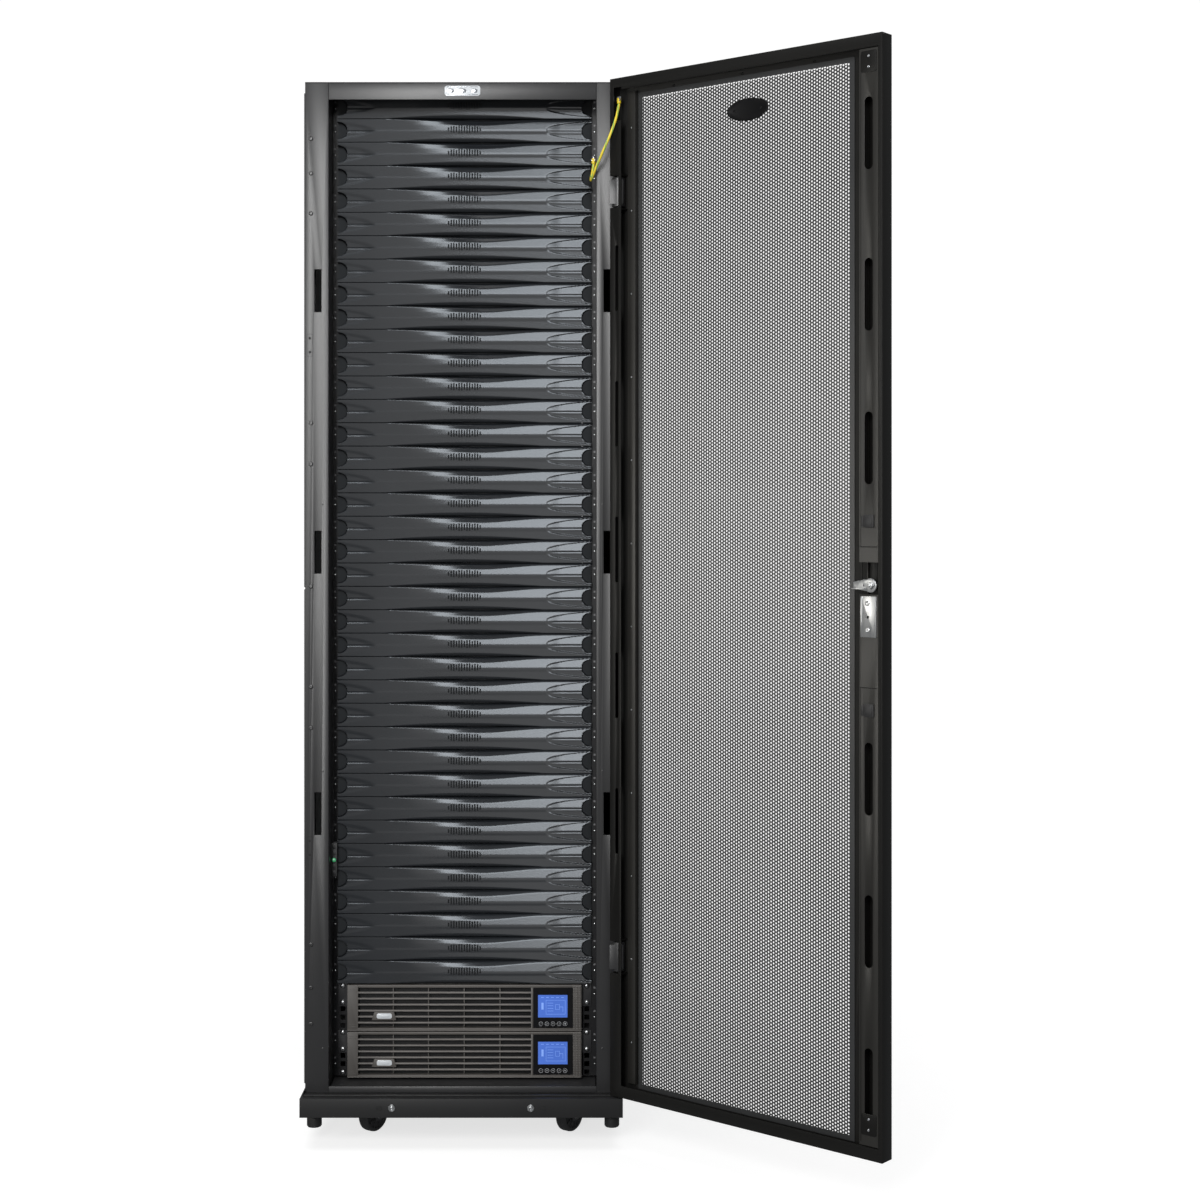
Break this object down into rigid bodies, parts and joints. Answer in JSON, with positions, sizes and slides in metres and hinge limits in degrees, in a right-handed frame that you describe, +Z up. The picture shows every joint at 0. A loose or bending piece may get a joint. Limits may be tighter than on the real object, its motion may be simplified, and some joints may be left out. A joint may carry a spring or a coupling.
{
  "type": "rackmount ups cabinet",
  "caption": "Rack cabinet on castors with rack mount UPS units, blanking panels, perforated hinged doors, levelling feet and a ground wire.",
  "frame": {"origin": "on the floor under the centre of the plinth's footprint", "axes": "+X to the right seen from the front, +Y into the depth, +Z up"},
  "size_m": [1.0493, 1.4686, 1.991],
  "materials": {
    "cabinet_black": "fine textured black powder coat",
    "rail_black": "satin black powder coat",
    "panel_plastic": "satin-gloss moulded black plastic",
    "brush_black": "dense black nylon bristles in a plastic rim",
    "latch_plastic": "fine-grained black plastic",
    "zinc": "bright zinc plate",
    "terminal_yellow": "yellow insulating boot",
    "wire_green_yellow": "green and yellow striped sleeve",
    "badge_light": "plain light badge",
    "badge_black": "plain black oval badge",
    "level_green": "green spirit vial in a black housing",
    "chassis_steel": "black coated sheet steel",
    "bezel_grey": "brown-grey moulded plastic",
    "display_black": "piano black with a blue lit display",
    "battery_plastic": "black battery case",
    "socket_plastic": "black outlet plastic",
    "castor_steel": "zinc plated steel",
    "wheel_rubber": "dark polyurethane tread"
  },
  "bodies": {
    "cabinet": {"base_plinth": "cabinet_black", "blanking_panels": "panel_plastic", "corner_posts": "cabinet_black", "floor_pan": "cabinet_black", "frame_members": "cabinet_black", "frame_screws": "zinc", "front_rails": "rail_black", "ground_stud": "zinc", "ground_wire": "wire_green_yellow", "header_badge": "badge_light", "hinge_brackets": "cabinet_black", "rear_rails": "rail_black", "roof_brushes": "brush_black", "roof_panel": "cabinet_black", "side_panel_latches": "latch_plastic", "side_panels": "cabinet_black", "spirit_level": "level_green", "ups_lower_battery_pack": "battery_plastic", "ups_lower_bezel": "bezel_grey", "ups_lower_chassis": "chassis_steel", "ups_lower_display": "display_black", "ups_lower_rear_sockets": "socket_plastic", "ups_upper_battery_pack": "battery_plastic", "ups_upper_bezel": "bezel_grey", "ups_upper_chassis": "chassis_steel", "ups_upper_display": "display_black", "ups_upper_rear_sockets": "socket_plastic"},
    "front_door": {"front_door_pan": "cabinet_black", "front_door_mesh": "cabinet_black", "front_door_channels": "cabinet_black", "front_door_badge": "badge_black", "front_lock_plates": "zinc", "door_ground_terminal": "terminal_yellow"},
    "front_handle": {"front_handle_lever": "latch_plastic", "front_latch_cam": "zinc"},
    "rear_door_left": {"rear_door_left": "cabinet_black"},
    "rear_door_right": {"rear_door_right": "cabinet_black"},
    "rear_handle": {"rear_handle_lever": "latch_plastic"},
    "castor_front_left_swivel": {"castor_front_left_fork": "castor_steel"},
    "castor_front_left_roller": {"castor_front_left_wheel": "wheel_rubber"},
    "foot_front_left": {"foot_front_left": "castor_steel"},
    "castor_front_right_swivel": {"castor_front_right_fork": "castor_steel"},
    "castor_front_right_roller": {"castor_front_right_wheel": "wheel_rubber"},
    "foot_front_right": {"foot_front_right": "castor_steel"},
    "castor_rear_left_swivel": {"castor_rear_left_fork": "castor_steel"},
    "castor_rear_left_roller": {"castor_rear_left_wheel": "wheel_rubber"},
    "foot_rear_left": {"foot_rear_left": "castor_steel"},
    "castor_rear_right_swivel": {"castor_rear_right_fork": "castor_steel"},
    "castor_rear_right_roller": {"castor_rear_right_wheel": "wheel_rubber"},
    "foot_rear_right": {"foot_rear_right": "castor_steel"},
    "ups_lower_button_1": {"ups_lower_button_1": "display_black"},
    "ups_lower_button_2": {"ups_lower_button_2": "display_black"},
    "ups_lower_button_3": {"ups_lower_button_3": "display_black"},
    "ups_lower_button_4": {"ups_lower_button_4": "display_black"},
    "ups_lower_button_5": {"ups_lower_button_5": "display_black"},
    "ups_upper_button_1": {"ups_upper_button_1": "display_black"},
    "ups_upper_button_2": {"ups_upper_button_2": "display_black"},
    "ups_upper_button_3": {"ups_upper_button_3": "display_black"},
    "ups_upper_button_4": {"ups_upper_button_4": "display_black"},
    "ups_upper_button_5": {"ups_upper_button_5": "display_black"}
  },
  "joints": [
    {"name": "front_door_hinge", "type": "hinge", "parent": "cabinet", "child": "front_door", "pos_m": [0.292, -0.526, 1], "axis": [0, 0, 1], "range_deg": [-140, 20], "deforming": ["ground_wire"]},
    {"name": "front_handle_turn", "type": "hinge", "parent": "front_door", "child": "front_handle", "pos_m": [0.71792, -0.88339, 1.065], "axis": [0.6428, 0.766, 0], "range_deg": [0, 90]},
    {"name": "rear_door_left_hinge", "type": "hinge", "parent": "cabinet", "child": "rear_door_left", "pos_m": [-0.292, 0.526, 1], "axis": [0, 0, 1], "range_deg": [0, 120]},
    {"name": "rear_door_right_hinge", "type": "hinge", "parent": "cabinet", "child": "rear_door_right", "pos_m": [0.292, 0.526, 1], "axis": [0, 0, -1], "range_deg": [0, 120]},
    {"name": "rear_handle_turn", "type": "hinge", "parent": "rear_door_left", "child": "rear_handle", "pos_m": [-0.021, 0.55, 1.09], "axis": [0, 1, 0], "range_deg": [0, 90]},
    {"name": "castor_front_left_turn", "type": "hinge", "parent": "cabinet", "child": "castor_front_left_swivel", "pos_m": [-0.188, -0.44, 0.08], "axis": [0, 0, 1], "continuous": true},
    {"name": "castor_front_left_roll", "type": "hinge", "parent": "castor_front_left_swivel", "child": "castor_front_left_roller", "pos_m": [-0.17653, -0.42362, 0.032], "axis": [-0.8192, 0.5736, 0], "continuous": true},
    {"name": "foot_front_left_screw", "type": "slide", "parent": "cabinet", "child": "foot_front_left", "axis": [0, 0, 1], "range_m": [-0.029, 0.01]},
    {"name": "castor_front_right_turn", "type": "hinge", "parent": "cabinet", "child": "castor_front_right_swivel", "pos_m": [0.188, -0.44, 0.08], "axis": [0, 0, 1], "continuous": true},
    {"name": "castor_front_right_roll", "type": "hinge", "parent": "castor_front_right_swivel", "child": "castor_front_right_roller", "pos_m": [0.19947, -0.42362, 0.032], "axis": [-0.8192, 0.5736, 0], "continuous": true},
    {"name": "foot_front_right_screw", "type": "slide", "parent": "cabinet", "child": "foot_front_right", "axis": [0, 0, 1], "range_m": [-0.029, 0.01]},
    {"name": "castor_rear_left_turn", "type": "hinge", "parent": "cabinet", "child": "castor_rear_left_swivel", "pos_m": [-0.188, 0.44, 0.08], "axis": [0, 0, 1], "continuous": true},
    {"name": "castor_rear_left_roll", "type": "hinge", "parent": "castor_rear_left_swivel", "child": "castor_rear_left_roller", "pos_m": [-0.17653, 0.45638, 0.032], "axis": [-0.8192, 0.5736, 0], "continuous": true},
    {"name": "foot_rear_left_screw", "type": "slide", "parent": "cabinet", "child": "foot_rear_left", "axis": [0, 0, 1], "range_m": [-0.029, 0.01]},
    {"name": "castor_rear_right_turn", "type": "hinge", "parent": "cabinet", "child": "castor_rear_right_swivel", "pos_m": [0.188, 0.44, 0.08], "axis": [0, 0, 1], "continuous": true},
    {"name": "castor_rear_right_roll", "type": "hinge", "parent": "castor_rear_right_swivel", "child": "castor_rear_right_roller", "pos_m": [0.19947, 0.45638, 0.032], "axis": [-0.8192, 0.5736, 0], "continuous": true},
    {"name": "foot_rear_right_screw", "type": "slide", "parent": "cabinet", "child": "foot_rear_right", "axis": [0, 0, 1], "range_m": [-0.029, 0.01]},
    {"name": "ups_lower_button_1_press", "type": "slide", "parent": "cabinet", "child": "ups_lower_button_1", "axis": [0, 1, 0], "range_m": [0, 0.0015], "stiffness_N_per_m": 300, "springref_m": -0.001},
    {"name": "ups_lower_button_2_press", "type": "slide", "parent": "cabinet", "child": "ups_lower_button_2", "axis": [0, 1, 0], "range_m": [0, 0.0015], "stiffness_N_per_m": 300, "springref_m": -0.001},
    {"name": "ups_lower_button_3_press", "type": "slide", "parent": "cabinet", "child": "ups_lower_button_3", "axis": [0, 1, 0], "range_m": [0, 0.0015], "stiffness_N_per_m": 300, "springref_m": -0.001},
    {"name": "ups_lower_button_4_press", "type": "slide", "parent": "cabinet", "child": "ups_lower_button_4", "axis": [0, 1, 0], "range_m": [0, 0.0015], "stiffness_N_per_m": 300, "springref_m": -0.001},
    {"name": "ups_lower_button_5_press", "type": "slide", "parent": "cabinet", "child": "ups_lower_button_5", "axis": [0, 1, 0], "range_m": [0, 0.0015], "stiffness_N_per_m": 300, "springref_m": -0.001},
    {"name": "ups_upper_button_1_press", "type": "slide", "parent": "cabinet", "child": "ups_upper_button_1", "axis": [0, 1, 0], "range_m": [0, 0.0015], "stiffness_N_per_m": 300, "springref_m": -0.001},
    {"name": "ups_upper_button_2_press", "type": "slide", "parent": "cabinet", "child": "ups_upper_button_2", "axis": [0, 1, 0], "range_m": [0, 0.0015], "stiffness_N_per_m": 300, "springref_m": -0.001},
    {"name": "ups_upper_button_3_press", "type": "slide", "parent": "cabinet", "child": "ups_upper_button_3", "axis": [0, 1, 0], "range_m": [0, 0.0015], "stiffness_N_per_m": 300, "springref_m": -0.001},
    {"name": "ups_upper_button_4_press", "type": "slide", "parent": "cabinet", "child": "ups_upper_button_4", "axis": [0, 1, 0], "range_m": [0, 0.0015], "stiffness_N_per_m": 300, "springref_m": -0.001},
    {"name": "ups_upper_button_5_press", "type": "slide", "parent": "cabinet", "child": "ups_upper_button_5", "axis": [0, 1, 0], "range_m": [0, 0.0015], "stiffness_N_per_m": 300, "springref_m": -0.001}
  ]
}
